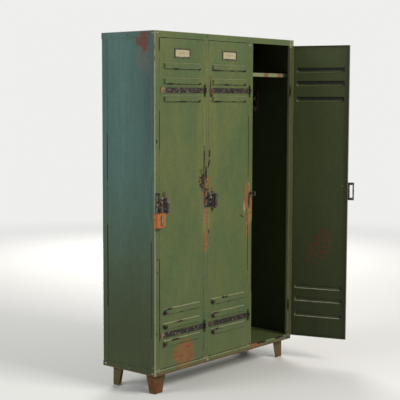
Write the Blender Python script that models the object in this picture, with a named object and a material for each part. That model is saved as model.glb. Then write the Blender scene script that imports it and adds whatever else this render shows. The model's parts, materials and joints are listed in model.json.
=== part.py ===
"""A three-bay steel locker cabinet on angle feet, as separate sheet-metal and hardware pieces.

Metres, +Z up, front towards -Y. Everything hangs on one root empty, which is moved at the end
so that the middle of the box round all the pieces, at floor level, is the origin.
A bay's door parts are drawn round that bay's hinge axis, with the door closed and reaching
towards -X, and the empty on the axis then turns them to where the door stands.
"""

import math

import bmesh
import bpy
from mathutils import Matrix, Vector

# Driving dimensions
WIDTH = 1.140  # over the top cap
DEPTH = 0.366
HEIGHT = 1.800
FOOT_HEIGHT = 0.103  # floor to the lower edge of the base
BAYS = 3
DOOR_ANGLES = (0.0, 0.0, 108.0)  # how far each door stands open, in degrees

# Sheet metal
SHEET = 0.0015
GAP = 0.0003  # between pieces that touch
CAP_BAND = 0.031  # depth of the top cap's skirt
BASE_BAND = 0.026  # depth of the base's skirt
CORNER_FACE = 0.0320  # front face of a corner post
MID_FACE = 0.034  # front face of a post between two doors
POST_RETURN = 0.014  # fold of a post's face back into the opening
FRONT_POST_SIDE = 0.024  # leg of a front corner post along the side
REAR_POST_SIDE = 0.034
REAR_POST_BACK = 0.030
DIVIDER_FLANGE = 0.012
LEDGE = 0.010  # turned-in lower edge of the base

# Feet, each an angle whose legs taper downwards
FOOT_INSET = 0.037  # from the base's outer corner
FOOT_SHEET = 0.003
FOOT_WIDE = 0.055  # leg along the front or back, at the floor
FOOT_NARROW = 0.037  # leg along the side, at the floor
FOOT_FLARE = 0.25  # growth of each leg per metre of height

# Hat shelves
SHELF_TOP = 1.614
SHELF_LIP = 0.020
SHELF_SETBACK = 0.043  # front of the shelf behind the front of the cabinet

# Doors
DOOR_GAP = 0.0015  # to the posts on either side
DOOR_TOP_GAP = 0.003
DOOR_FOOT_GAP = 0.005
DOOR_SHEET = 0.0012
DOOR_THICK = 0.013
DOOR_LIP = 0.015  # turned-in strip along the hinge side
AXIS_IN = 0.005  # hinge axis beyond the edge of the opening
AXIS_OUT = 0.0075  # hinge axis in front of the door

# Louvres, pressed outwards, in two groups of three round the strap hinges
LOUVRE_MARGIN = 0.029  # to the door's edges
LOUVRE_TALL = 0.031
LOUVRE_HEIGHT = 0.009
LOUVRE_SLOPE = 0.005
LOUVRE_SLOT = 0.0032
LOUVRE_OFFSETS = (0.116, 0.043, -0.044)  # above each strap
HINGE_HEIGHTS = {"upper": 1.515, "lower": 0.301}

# Strap hinges
STRAP_MARGIN = 0.008  # to the door's free edge
STRAP_WIDTH = 0.025
STRAP_THICK = 0.004
EYE_RADIUS = 0.005
PIN_RADIUS = 0.0025
PIN_CLEARANCE = 0.0004
KNUCKLE_HEIGHT = 0.055
KNUCKLE_GAP = 0.0006
LEAF_WIDTH = 0.013

# Label holders
LABEL_HEIGHT = 1.696  # middle of the holder
LABEL_SIZE = (0.118, 0.046)
LABEL_THICK = 0.0032
LABEL_RIM = 0.006
LABEL_TAB = (0.012, 0.005)
CARD_THICK = 0.0009
CARD_OVERLAP = 0.003  # of the card behind the holder's rim

# Locks: a slotted hasp plate on the door over a turning eye on the post
LOCK_HEIGHT = 0.966
EYE_FROM_DOOR = 0.017  # eye's axis beyond the door's free edge
HASP_THICK = 0.003
HASP_HEIGHT = 0.098
HASP_REACH = 0.033  # beyond the door's free edge
HASP_WINDOW = (0.016, 0.070)
HASP_TAIL = 0.022  # onto the door
HASP_TAIL_HEIGHT = 0.056
STAPLE_RING = (0.0105, 0.0038)  # ring radius, wire radius
STAPLE_NECK = 0.0045
STAPLE_BASE = (0.0075, 0.0022)
STAPLE_STAND = 0.0085  # post to the ring's edge
GRIP_FROM_EDGE = 0.034
GRIP_OUT = 0.024
GRIP_RADIUS = 0.0105
GRIP_HEIGHT = 0.076
GRIP_MIDDLE = 0.950
GRIP_PLATE = (0.020, 0.104, 0.0025)
GRIP_LEG_RADIUS = 0.004

# Padlock on the first bay
PADLOCK_BODY = (0.068, 0.024, 0.072)
PADLOCK_ASIDE = 0.006  # hangs this far to the left of the eye
PADLOCK_BEVEL = 0.003
SHACKLE_RADIUS = 0.0042
SHACKLE_HALF = 0.019
SHACKLE_BEND = 0.011
SHACKLE_RISE = 0.043  # body's top to the inside of the bow
SHACKLE_LONG = 0.034  # captive leg inside the body
SHACKLE_SHORT = 0.012  # the other, which pulls clear
SHACKLE_CLEARANCE = 0.0004
SHACKLE_BOTTOM = 0.004  # room under each leg

# Coat hooks, on the right-hand wall of each bay
HOOK_FROM_FRONT = 0.253
HOOK_TOP = 1.512
HOOK_PLATE = (0.003, 0.020, 0.110)
HOOK_WIRE = 0.004
HOOK_REACH = 0.042

STEEL_GREEN = (0.105, 0.135, 0.052)
INNER_GREEN = (0.085, 0.110, 0.045)
BLACKENED = (0.030, 0.027, 0.024)
RUSTED = (0.300, 0.125, 0.045)

FRONT = -DEPTH / 2 + SHEET + GAP  # plane of the posts' and doors' faces
LEFT = -WIDTH / 2 + SHEET + GAP
BACK = DEPTH / 2 - SHEET - GAP
FLOOR = FOOT_HEIGHT + BASE_BAND  # top of the base, inside the cabinet
CEILING = HEIGHT - SHEET
OPENING = (WIDTH - 2 * (SHEET + GAP) - 2 * CORNER_FACE - (BAYS - 1) * MID_FACE) / BAYS
PITCH = OPENING + MID_FACE
DOOR_WIDTH = OPENING - 2 * DOOR_GAP
DOOR_LOW = FLOOR + DOOR_FOOT_GAP
DOOR_HIGH = HEIGHT - CAP_BAND - DOOR_TOP_GAP
DOOR_RIGHT = -DOOR_GAP - AXIS_IN  # door's edges from its hinge axis, along X
DOOR_LEFT = DOOR_RIGHT - DOOR_WIDTH
DOOR_FACE = AXIS_OUT  # door's outer face from its hinge axis, along Y
LINING = LEFT + SHEET + GAP  # outer face of a side panel, inside its posts
BACKING = BACK - SHEET - GAP


def opening_left(bay):
    return LEFT + CORNER_FACE + bay * PITCH


def opening_right(bay):
    return opening_left(bay) + OPENING


def wall_left(bay):
    """The face of the panel on a bay's left side."""
    return LINING + SHEET if bay == 0 else opening_left(bay) - MID_FACE / 2 + SHEET / 2


def wall_right(bay):
    if bay == BAYS - 1:
        return -LINING - SHEET
    return opening_right(bay) + MID_FACE / 2 - SHEET / 2


def clear_scene():
    for obj in list(bpy.data.objects):
        bpy.data.objects.remove(obj, do_unlink=True)


def make_material(name, color, roughness, metallic):
    mat = bpy.data.materials.new(name)
    mat.use_nodes = True
    shader = mat.node_tree.nodes["Principled BSDF"]
    shader.inputs["Base Color"].default_value = (*color, 1.0)
    shader.inputs["Roughness"].default_value = roughness
    shader.inputs["Metallic"].default_value = metallic
    return mat


def make_empty(name, parent=None, location=(0, 0, 0), turn=0.0):
    empty = bpy.data.objects.new(name, None)
    bpy.context.scene.collection.objects.link(empty)
    empty.parent = parent
    empty.location = location
    empty.rotation_euler.z = math.radians(turn)
    return empty


def make_object(name, bm, parent, finish=None, location=(0, 0, 0), smooth=None):
    """The bmesh as an object. finish is a colour, a roughness and a metallic value."""
    bmesh.ops.recalc_face_normals(bm, faces=bm.faces)
    mesh = bpy.data.meshes.new(name)
    bm.to_mesh(mesh)
    bm.free()
    obj = bpy.data.objects.new(name, mesh)
    bpy.context.scene.collection.objects.link(obj)
    obj.parent = parent
    obj.location = location
    if finish:
        mesh.materials.append(make_material(name, *finish))
    if smooth:
        mesh.shade_smooth()
        mesh.set_sharp_from_angle(angle=math.radians(smooth))
    return obj


def combine(obj, bm, operation):
    """Joins a closed shape to the object, or cuts it away, with a Boolean modifier."""
    name = f"{obj.name}_{operation.lower()}_{len(obj.modifiers)}"
    helper = make_object(name, bm, obj.parent, location=obj.location)
    helper.hide_render = True
    helper.display_type = "WIRE"
    modifier = obj.modifiers.new(name, "BOOLEAN")
    modifier.operation = operation
    modifier.object = helper
    modifier.solver = "EXACT"


def add_box(bm, low, high):
    low, high = Vector(low), Vector(high)
    size = high - low
    place = Matrix.Translation((low + high) / 2) @ Matrix.Diagonal((*size, 1.0))
    bmesh.ops.create_cube(bm, size=1.0, matrix=place)


def box(low, high):
    bm = bmesh.new()
    add_box(bm, low, high)
    return bm


def add_cylinder(bm, start, end, radius, segments=16):
    start, end = Vector(start), Vector(end)
    along = end - start
    turn = along.to_track_quat("Z", "Y").to_matrix().to_4x4()
    place = Matrix.Translation((start + end) / 2) @ turn
    bmesh.ops.create_cone(
        bm, cap_ends=True, segments=segments, radius1=radius, radius2=radius,
        depth=along.length, matrix=place,
    )


def cylinder(start, end, radius, segments=16):
    bm = bmesh.new()
    add_cylinder(bm, start, end, radius, segments)
    return bm


def add_loft(bm, rings):
    """A closed body through rings of as many points each, capped at both ends."""
    loops = [[bm.verts.new(point) for point in ring] for ring in rings]
    for lower, upper in zip(loops, loops[1:]):
        for i, corner in enumerate(lower):
            j = (i + 1) % len(lower)
            bm.faces.new((corner, lower[j], upper[j], upper[i]))
    bm.faces.new(reversed(loops[0]))
    bm.faces.new(loops[-1])


def prism(outline, low, high):
    """An outline in X and Y, stood up from one height to another."""
    bm = bmesh.new()
    add_loft(bm, [[(x, y, z) for x, y in outline] for z in (low, high)])
    return bm


def plate(outline, front, back):
    """An outline in X and Z, given its thickness along Y."""
    bm = bmesh.new()
    add_loft(bm, [[(x, y, z) for x, z in outline] for y in (front, back)])
    return bm


def tray(low, high, wall, open_side):
    """A thin-walled box with one side missing, such as "-z"."""
    axis, sign = "xyz".index(open_side[1]), open_side[0] == "+"
    inner_low = [value + wall for value in low]
    inner_high = [value - wall for value in high]
    if sign:
        inner_high[axis] = high[axis]
    else:
        inner_low[axis] = low[axis]
    bm = bmesh.new()
    shells = []
    for ends in ((low, high), (inner_low, inner_high)):
        corners = {}
        for code in range(8):
            bits = [(code >> k) & 1 for k in range(3)]
            corners[tuple(bits)] = bm.verts.new([ends[bit][k] for k, bit in enumerate(bits)])
        shells.append(corners)
    for face_axis in range(3):
        for side in (0, 1):
            others = [k for k in range(3) if k != face_axis]
            cycle = []
            for first, second in ((0, 0), (1, 0), (1, 1), (0, 1)):
                bits = [side] * 3
                bits[others[0]], bits[others[1]] = first, second
                cycle.append(tuple(bits))
            if face_axis == axis and side == sign:
                for here, there in zip(cycle, cycle[1:] + cycle[:1]):
                    bm.faces.new(
                        (shells[0][here], shells[0][there], shells[1][there], shells[1][here])
                    )
            else:
                for corners in shells:
                    bm.faces.new([corners[key] for key in cycle])
    return bm


def arc(center, radius, start, end, steps):
    """Points on an arc, angles in degrees."""
    angles = [math.radians(start + (end - start) * k / steps) for k in range(steps + 1)]
    return [
        (center[0] + radius * math.cos(a), center[1] + radius * math.sin(a)) for a in angles
    ]


def tube(path, radius, sides=10):
    """A round bar along a path of points, its ends capped."""
    path = [Vector(point) for point in path]
    rings, side = [], None
    for i, point in enumerate(path):
        ahead = path[min(i + 1, len(path) - 1)] - path[max(i - 1, 0)]
        ahead.normalize()
        if side is None:
            side = ahead.orthogonal().normalized()
        side = (side - ahead * side.dot(ahead)).normalized()
        up = ahead.cross(side)
        angles = [2 * math.pi * k / sides for k in range(sides)]
        rings.append([point + radius * (math.cos(a) * side + math.sin(a) * up) for a in angles])
    bm = bmesh.new()
    add_loft(bm, rings)
    return bm


def ring(center, ring_radius, wire_radius, segments=20, sides=8):
    """A torus whose hole runs along X."""
    bm = bmesh.new()
    loops = []
    for i in range(segments):
        a = 2 * math.pi * i / segments
        out = Vector((0, math.cos(a), math.sin(a)))
        loop = []
        for k in range(sides):
            b = 2 * math.pi * k / sides
            reach = ring_radius + wire_radius * math.cos(b)
            point = Vector(center) + out * reach + Vector((wire_radius * math.sin(b), 0, 0))
            loop.append(bm.verts.new(point))
        loops.append(loop)
    for i, loop in enumerate(loops):
        after = loops[(i + 1) % segments]
        for k in range(sides):
            j = (k + 1) % sides
            bm.faces.new((loop[k], loop[j], after[j], after[k]))
    return bm


def frustum(center, size, top_size, base, top):
    """A pressing on the door: a rectangle in X and Z at depth base that shrinks towards top."""
    rings = []
    for (width, height), y in ((size, base), (top_size, top)):
        x, z = width / 2, height / 2
        corners = ((-x, -z), (x, -z), (x, z), (-x, z))
        rings.append([(center[0] + dx, y, center[1] + dz) for dx, dz in corners])
    bm = bmesh.new()
    add_loft(bm, rings)
    return bm


def build_top_cap(root):
    low = (-WIDTH / 2, -DEPTH / 2, HEIGHT - CAP_BAND)
    high = (WIDTH / 2, DEPTH / 2, HEIGHT)
    make_object("top_cap", tray(low, high, SHEET, "-z"), root, (STEEL_GREEN, 0.5, 0.1))


def build_base(root):
    low = (-WIDTH / 2, -DEPTH / 2, FOOT_HEIGHT)
    high = (WIDTH / 2, DEPTH / 2, FLOOR)
    base = make_object("base_tray", tray(low, high, SHEET, "-z"), root, (STEEL_GREEN, 0.5, 0.1))
    for name, side in (("front", -1), ("back", 1)):
        ends = sorted((side * DEPTH / 2, side * (DEPTH / 2 - LEDGE)))
        ledge_low = (-WIDTH / 2, ends[0], FOOT_HEIGHT)
        combine(base, box(ledge_low, (WIDTH / 2, ends[1], FOOT_HEIGHT + SHEET)), "UNION")


def build_corner_posts(root):
    low, high = FLOOR + GAP, CEILING - GAP
    front = (
        (0, FRONT_POST_SIDE), (0, 0), (CORNER_FACE, 0), (CORNER_FACE, POST_RETURN),
        (CORNER_FACE - SHEET, POST_RETURN), (CORNER_FACE - SHEET, SHEET), (SHEET, SHEET),
        (SHEET, FRONT_POST_SIDE),
    )
    rear = (
        (0, -REAR_POST_SIDE), (SHEET, -REAR_POST_SIDE), (SHEET, -SHEET),
        (REAR_POST_BACK, -SHEET), (REAR_POST_BACK, 0), (0, 0),
    )
    for side, mirror in (("left", 1), ("right", -1)):
        for end, outline, start in (("front", front, FRONT), ("rear", rear, BACK)):
            points = [(mirror * (LEFT + x), start + y) for x, y in outline]
            name = f"corner_post_{end}_{side}"
            make_object(name, prism(points, low, high), root, (STEEL_GREEN, 0.5, 0.1))


def build_dividers(root):
    """The posts between the doors, and the panel behind each, folded at its front and back."""
    low, high = FLOOR + GAP, CEILING - GAP
    half = MID_FACE / 2
    channel = (
        (-half, 0), (half, 0), (half, POST_RETURN), (half - SHEET, POST_RETURN),
        (half - SHEET, SHEET), (SHEET - half, SHEET), (SHEET - half, POST_RETURN),
        (-half, POST_RETURN),
    )
    near = FRONT + SHEET + GAP
    far = BACKING - SHEET - GAP
    web, flange = SHEET / 2, DIVIDER_FLANGE
    folded = (
        (-web, near), (-web + flange, near), (-web + flange, near + SHEET), (web, near + SHEET),
        (web, far - SHEET), (-web + flange, far - SHEET), (-web + flange, far), (-web, far),
    )
    for i in range(1, BAYS):
        middle = opening_left(i) - half
        post = [(middle + x, FRONT + y) for x, y in channel]
        make_object(f"mid_post_{i}", prism(post, low, high), root, (STEEL_GREEN, 0.5, 0.1))
        panel = [(middle + x, y) for x, y in folded]
        make_object(f"divider_{i}", prism(panel, low, high), root, (INNER_GREEN, 0.55, 0.1))


def build_panels(root):
    low, high = FLOOR + GAP, CEILING - GAP
    near, far = FRONT + SHEET + GAP, BACKING - SHEET - GAP
    for name, mirror in (("side_panel_left", 1), ("side_panel_right", -1)):
        ends = sorted((mirror * LINING, mirror * (LINING + SHEET)))
        shape = box((ends[0], near, low), (ends[1], far, high))
        make_object(name, shape, root, (STEEL_GREEN, 0.5, 0.1))
    shape = box((LINING, BACKING - SHEET, low), (-LINING, BACKING, high))
    make_object("back_panel", shape, root, (INNER_GREEN, 0.55, 0.1))


def build_shelves(root):
    near = -DEPTH / 2 + SHELF_SETBACK
    far = BACKING - 2 * SHEET - 2 * GAP
    for bay in range(BAYS):
        low = (wall_left(bay) + GAP, near, SHELF_TOP - SHELF_LIP)
        high = (wall_right(bay) - GAP, far, SHELF_TOP)
        shape = tray(low, high, SHEET, "-z")
        make_object(f"hat_shelf_{bay + 1}", shape, root, (INNER_GREEN, 0.6, 0.1))


def build_feet(root):
    """An angle with two legs under a bolting plate, tucked inside the base at each corner."""
    top = FLOOR - SHEET - GAP
    for end, back in (("front", -1), ("rear", 1)):
        for side, right in (("left", -1), ("right", 1)):
            corner = (right * (WIDTH / 2 - FOOT_INSET), back * (DEPTH / 2 - FOOT_INSET))
            rings = []
            for z in (0.0, top):
                wide, narrow = FOOT_WIDE + FOOT_FLARE * z, FOOT_NARROW + FOOT_FLARE * z
                outline = (
                    (0, 0), (wide, 0), (wide, FOOT_SHEET), (FOOT_SHEET, FOOT_SHEET),
                    (FOOT_SHEET, narrow), (0, narrow),
                )
                rings.append(
                    [(corner[0] - right * x, corner[1] - back * y, z) for x, y in outline]
                )
            bm = bmesh.new()
            add_loft(bm, rings)
            foot = make_object(f"foot_{end}_{side}", bm, root, (RUSTED, 0.7, 0.3))
            x_ends = sorted((corner[0], corner[0] - right * wide))
            y_ends = sorted((corner[1], corner[1] - back * narrow))
            low = (x_ends[0], y_ends[0], top - FOOT_SHEET)
            combine(foot, box(low, (x_ends[1], y_ends[1], top)), "UNION")


def build_coat_hook(bay, root):
    """A plate with one prong that turns up and one that turns down and out."""
    thick, width, height = HOOK_PLATE
    wall = wall_right(bay) - GAP
    middle = -DEPTH / 2 + HOOK_FROM_FRONT
    low = (wall - thick, middle - width / 2, HOOK_TOP - height)
    plate_high = (wall, middle + width / 2, HOOK_TOP)
    name = f"coat_hook_{bay + 1}"
    hook = make_object(name, box(low, plate_high), root, (BLACKENED, 0.45, 0.7), smooth=40)
    root_x = wall - thick / 2
    for start, bend, tip in ((0.020, 0.016, 0.030), (0.088, 0.014, 0.016)):
        reach = HOOK_REACH if start < height / 2 else HOOK_REACH * 0.7
        z = HOOK_TOP - start
        path = [(root_x, middle, z), (root_x - 2 * thick, middle, z)]
        path.append((root_x - reach * 0.45, middle, z - bend * 0.6))
        curve = arc((wall - reach + bend, z - bend * 0.6), bend, 270, 180, 4)
        path += [(x, middle, height_here) for x, height_here in curve]
        path.append((wall - reach - 0.002, middle, z - bend * 0.6 + tip))
        combine(hook, tube(path, HOOK_WIRE, 8), "UNION")


def build_door(bay, hinge):
    low = (DOOR_LEFT, DOOR_FACE, DOOR_LOW)
    high = (DOOR_RIGHT, DOOR_FACE + DOOR_THICK, DOOR_HIGH)
    shape = tray(low, high, DOOR_SHEET, "+y")
    door = make_object(f"door_{bay + 1}", shape, hinge, (STEEL_GREEN, 0.5, 0.1))
    lip_low = (DOOR_RIGHT - DOOR_LIP, high[1] - DOOR_SHEET, DOOR_LOW)
    combine(door, box(lip_low, high), "UNION")
    center = (DOOR_LEFT + DOOR_RIGHT) / 2
    wall = DOOR_SHEET
    width, height = DOOR_WIDTH - 2 * LOUVRE_MARGIN, LOUVRE_TALL
    shrink = 2 * LOUVRE_SLOPE
    outer = bmesh.new()
    inner = bmesh.new()
    slots = bmesh.new()
    for strap in HINGE_HEIGHTS.values():
        for offset in LOUVRE_OFFSETS:
            middle = (center, strap + offset)
            for bm, inset, base, top in (
                (outer, 0.0, DOOR_FACE + wall / 2, DOOR_FACE - LOUVRE_HEIGHT),
                (inner, 2 * wall, DOOR_FACE + 1.5 * wall, DOOR_FACE - LOUVRE_HEIGHT + wall),
            ):
                size = (width - inset, height - inset)
                top_size = (size[0] - shrink, size[1] - shrink)
                part = frustum(middle, size, top_size, base, top)
                append(bm, part)
            slot_x = (width - shrink) / 2 - 4 * wall
            slot_top = DOOR_FACE - LOUVRE_HEIGHT + wall
            add_box(
                slots,
                (center - slot_x, slot_top, middle[1] - height / 2 - wall),
                (center + slot_x, slot_top + LOUVRE_SLOT, middle[1]),
            )
    combine(door, outer, "UNION")
    combine(door, inner, "DIFFERENCE")
    combine(door, slots, "DIFFERENCE")


def append(bm, other):
    """Adds the other shape's faces to the first."""
    places = {}
    for vert in other.verts:
        places[vert] = bm.verts.new(vert.co)
    for face in other.faces:
        bm.faces.new([places[vert] for vert in face.verts])
    other.free()


def build_strap_hinge(bay, which, hinge, post_hinge):
    """The strap across the door, with its eye, and the leaf on the post, with its pin."""
    z = HINGE_HEIGHTS[which]
    back = DOOR_FACE - GAP
    front = back - STRAP_THICK
    end = DOOR_LEFT + STRAP_MARGIN
    start = math.degrees(math.asin(front / EYE_RADIUS))
    eye = arc((0, 0), EYE_RADIUS, 180 - start, 435, 14)
    outline = [(end, back), (end, front), *eye, (-1.5 * EYE_RADIUS, back)]
    half = STRAP_WIDTH / 2
    shape = prism(outline, z - half, z + half)
    iron = (BLACKENED, 0.5, 0.7)
    strap = make_object(f"strap_hinge_{which}_{bay + 1}", shape, hinge, iron, smooth=40)
    hole_radius = PIN_RADIUS + PIN_CLEARANCE
    hole = cylinder((0, 0, z - half - SHEET), (0, 0, z + half + SHEET), hole_radius)
    combine(strap, hole, "DIFFERENCE")
    tall = KNUCKLE_HEIGHT / 2
    leaf_x = EYE_RADIUS + KNUCKLE_GAP
    low = (leaf_x, front, z - tall)
    high = (leaf_x + LEAF_WIDTH, back, z + tall)
    name = f"hinge_leaf_{which}_{bay + 1}"
    leaf = make_object(name, box(low, high), post_hinge, (STEEL_GREEN, 0.5, 0.4), smooth=40)
    combine(leaf, cylinder((0, 0, z - tall), (0, 0, z + tall), PIN_RADIUS), "UNION")
    for side in (-1, 1):
        ends = sorted((z + side * (half + KNUCKLE_GAP), z + side * tall))
        barrel = cylinder((0, 0, ends[0]), (0, 0, ends[1]), EYE_RADIUS)
        combine(leaf, barrel, "UNION")
        bridge = box((0, front, ends[0]), (leaf_x + LEAF_WIDTH / 2, back, ends[1]))
        combine(leaf, bridge, "UNION")


def build_label(bay, hinge):
    center = (DOOR_LEFT + DOOR_RIGHT) / 2
    width, height = LABEL_SIZE
    back = DOOR_FACE - GAP
    front = back - LABEL_THICK
    left, right = center - width / 2, center + width / 2
    low, high = LABEL_HEIGHT - height / 2, LABEL_HEIGHT + height / 2
    tab, drop = LABEL_TAB
    outline = [
        (left, low), (center - tab / 2, low), (center - tab / 4, low - drop),
        (center + tab / 4, low - drop), (center + tab / 2, low), (right, low),
        (right, high), (left, high),
    ]
    shape = plate(outline, front, back)
    name = f"label_holder_{bay + 1}"
    holder = make_object(name, shape, hinge, (BLACKENED, 0.5, 0.6))
    window_low = (left + LABEL_RIM, front - SHEET, low + LABEL_RIM)
    window = box(window_low, (right - LABEL_RIM, back + SHEET, high - LABEL_RIM))
    combine(holder, window, "DIFFERENCE")
    side = LABEL_RIM - CARD_OVERLAP
    pocket_front = back - CARD_THICK - GAP
    card_low = (left + side, pocket_front, low + side)
    card_high = (right - side, back - GAP, high - SHEET)
    pocket_low = [value - GAP for value in card_low]
    pocket_high = (card_high[0] + GAP, back + SHEET, high + SHEET)
    combine(holder, box(pocket_low, pocket_high), "DIFFERENCE")
    name = f"label_card_{bay + 1}"
    make_object(name, box(card_low, card_high), hinge, ((0.62, 0.58, 0.42), 0.85, 0.0))


def build_hasp(bay, hinge):
    """A plate with a tall window beyond the door's edge, and a lower tail on the door."""
    back = DOOR_FACE - GAP
    front = back - HASP_THICK
    low, high = LOCK_HEIGHT - HASP_HEIGHT / 2, LOCK_HEIGHT + HASP_HEIGHT / 2
    left, right = DOOR_LEFT - HASP_REACH, DOOR_LEFT + HASP_TAIL
    tail = low + HASP_TAIL_HEIGHT
    bend = right - DOOR_LEFT
    outline = [(left, low), (right, low), (right, tail)]
    outline += arc((right, tail + bend), bend, 270, 180, 6)[1:]
    outline += [(DOOR_LEFT, high), (left, high)]
    shape = plate(outline, front, back)
    name = f"hasp_plate_{bay + 1}"
    hasp = make_object(name, shape, hinge, (BLACKENED, 0.45, 0.8))
    half, tall = HASP_WINDOW[0] / 2, HASP_WINDOW[1] / 2
    eye_x = DOOR_LEFT - EYE_FROM_DOOR
    window_low = (eye_x - half, front - SHEET, LOCK_HEIGHT - tall)
    window = box(window_low, (eye_x + half, back + SHEET, LOCK_HEIGHT + tall))
    combine(hasp, window, "DIFFERENCE")


def build_grip(bay, hinge):
    width, height, thick = GRIP_PLATE
    x = DOOR_LEFT + GRIP_FROM_EDGE
    back = DOOR_FACE - GAP
    low = GRIP_MIDDLE - GRIP_HEIGHT / 2
    plate_low = (x - width / 2, back - thick, low)
    shape = box(plate_low, (x + width / 2, back, low + height))
    iron = (BLACKENED, 0.4, 0.8)
    grip = make_object(f"door_grip_{bay + 1}", shape, hinge, iron, smooth=40)
    axis = DOOR_FACE - GRIP_OUT
    for side in (-1, 1):
        z = GRIP_MIDDLE + side * (GRIP_HEIGHT / 2 - 2 * GRIP_LEG_RADIUS)
        leg = cylinder((x, axis, z), (x, back - thick / 2, z), GRIP_LEG_RADIUS, 10)
        combine(grip, leg, "UNION")
    bar = cylinder((x, axis, low), (x, axis, low + GRIP_HEIGHT), GRIP_RADIUS, 18)
    combine(grip, bar, "UNION")


def build_staple(bay, eye):
    """A ring on a round neck, which turns in the post. Drawn round its own axis."""
    radius, wire = STAPLE_RING
    base_radius, base_thick = STAPLE_BASE
    center = (0, -STAPLE_STAND - radius - wire, 0)
    iron = (BLACKENED, 0.4, 0.8)
    name = f"turning_staple_{bay + 1}"
    staple = make_object(name, ring(center, radius, wire), eye, iron, smooth=60)
    neck_end = -STAPLE_STAND - wire
    combine(staple, cylinder((0, -GAP, 0), (0, neck_end, 0), STAPLE_NECK, 12), "UNION")
    base = cylinder((0, -GAP, 0), (0, -GAP - base_thick, 0), base_radius, 12)
    combine(staple, base, "UNION")
    return center[1]


def build_padlock(eye, ring_y):
    """Hangs by its shackle from the first bay's staple. Drawn round the middle of the eye,
    which the shackle's bow slides round as the lock swings."""
    ring_radius, wire = STAPLE_RING
    hang = make_empty("padlock_swing", eye, (0, ring_y, 0))
    seat = -ring_radius + wire + GAP
    width, depth, height = PADLOCK_BODY
    top = seat - SHACKLE_RISE
    low = (-width / 2 - PADLOCK_ASIDE, -depth / 2, top - height)
    high = (width / 2 - PADLOCK_ASIDE, depth / 2, top)
    paint = ((0.50, 0.17, 0.05), 0.45, 0.2)
    bm = box(low, high)
    bmesh.ops.bevel(bm, geom=bm.edges[:], offset=PADLOCK_BEVEL, segments=2, affect="EDGES")
    body = make_object("padlock_body", bm, hang, paint, smooth=40)
    left, right = -PADLOCK_ASIDE - SHACKLE_HALF, -PADLOCK_ASIDE + SHACKLE_HALF
    long_foot, short_foot = top - SHACKLE_LONG, top - SHACKLE_SHORT
    bow = seat + SHACKLE_RADIUS - SHACKLE_BEND
    path = [(left, long_foot), (left, bow)]
    path += arc((left + SHACKLE_BEND, bow), SHACKLE_BEND, 180, 90, 6)[1:]
    path += arc((right - SHACKLE_BEND, bow), SHACKLE_BEND, 90, 0, 6)
    path.append((right, short_foot))
    steel = ((0.18, 0.17, 0.16), 0.35, 1.0)
    shape = tube([(x, 0, z) for x, z in path], SHACKLE_RADIUS, 12)
    make_object("padlock_shackle", shape, hang, steel, smooth=60)
    wells = bmesh.new()
    for x, foot in ((left, long_foot), (right, short_foot)):
        start = (x, 0, foot - SHACKLE_BOTTOM)
        add_cylinder(wells, start, (x, 0, top + SHEET), SHACKLE_RADIUS + SHACKLE_CLEARANCE, 12)
    combine(body, wells, "DIFFERENCE")


def build_bay(bay, root):
    axis = (opening_right(bay) + AXIS_IN, FRONT - AXIS_OUT, 0)
    post_hinge = make_empty(f"post_hinge_{bay + 1}", root, axis)
    hinge = make_empty(f"door_hinge_{bay + 1}", root, axis, DOOR_ANGLES[bay])
    build_door(bay, hinge)
    for which in HINGE_HEIGHTS:
        build_strap_hinge(bay, which, hinge, post_hinge)
    build_label(bay, hinge)
    build_hasp(bay, hinge)
    build_grip(bay, hinge)
    eye_x = opening_left(bay) + DOOR_GAP - EYE_FROM_DOOR
    eye = make_empty(f"staple_axis_{bay + 1}", root, (eye_x, FRONT, LOCK_HEIGHT))
    ring_y = build_staple(bay, eye)
    if bay == 0:
        build_padlock(eye, ring_y)
    build_coat_hook(bay, root)


def rest_on_origin(root):
    """Moves everything so that the middle of its box, at floor level, is the origin."""
    bpy.context.view_layer.update()
    graph = bpy.context.evaluated_depsgraph_get()
    points = []
    for obj in bpy.context.scene.objects:
        if obj.type == "MESH" and not obj.hide_render:
            shape = obj.evaluated_get(graph)
            points += [shape.matrix_world @ Vector(corner) for corner in shape.bound_box]
    for k in range(2):
        values = [point[k] for point in points]
        root.location[k] = -(min(values) + max(values)) / 2


def main():
    clear_scene()
    root = make_empty("locker_cabinet")
    build_top_cap(root)
    build_base(root)
    build_corner_posts(root)
    build_dividers(root)
    build_panels(root)
    build_shelves(root)
    build_feet(root)
    for bay in range(BAYS):
        build_bay(bay, root)
    rest_on_origin(root)


main()
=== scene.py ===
import json
import math
import random

import bmesh
import bpy
from mathutils import Matrix, Vector


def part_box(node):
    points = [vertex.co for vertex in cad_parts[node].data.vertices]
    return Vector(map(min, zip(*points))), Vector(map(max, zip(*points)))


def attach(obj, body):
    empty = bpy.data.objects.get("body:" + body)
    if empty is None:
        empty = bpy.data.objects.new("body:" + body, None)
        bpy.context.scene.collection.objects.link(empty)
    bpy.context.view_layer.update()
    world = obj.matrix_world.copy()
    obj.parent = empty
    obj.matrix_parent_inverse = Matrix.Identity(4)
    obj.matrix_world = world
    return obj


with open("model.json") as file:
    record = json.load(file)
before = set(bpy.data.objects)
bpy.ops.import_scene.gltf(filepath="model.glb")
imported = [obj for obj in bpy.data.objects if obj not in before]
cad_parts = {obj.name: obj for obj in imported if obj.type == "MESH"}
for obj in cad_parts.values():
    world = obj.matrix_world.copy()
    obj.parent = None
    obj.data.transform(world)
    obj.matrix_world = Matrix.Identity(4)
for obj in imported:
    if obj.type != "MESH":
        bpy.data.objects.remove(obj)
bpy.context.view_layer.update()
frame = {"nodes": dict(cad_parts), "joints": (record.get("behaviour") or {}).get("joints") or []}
nodes = frame["nodes"]
random.seed(7)

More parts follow.
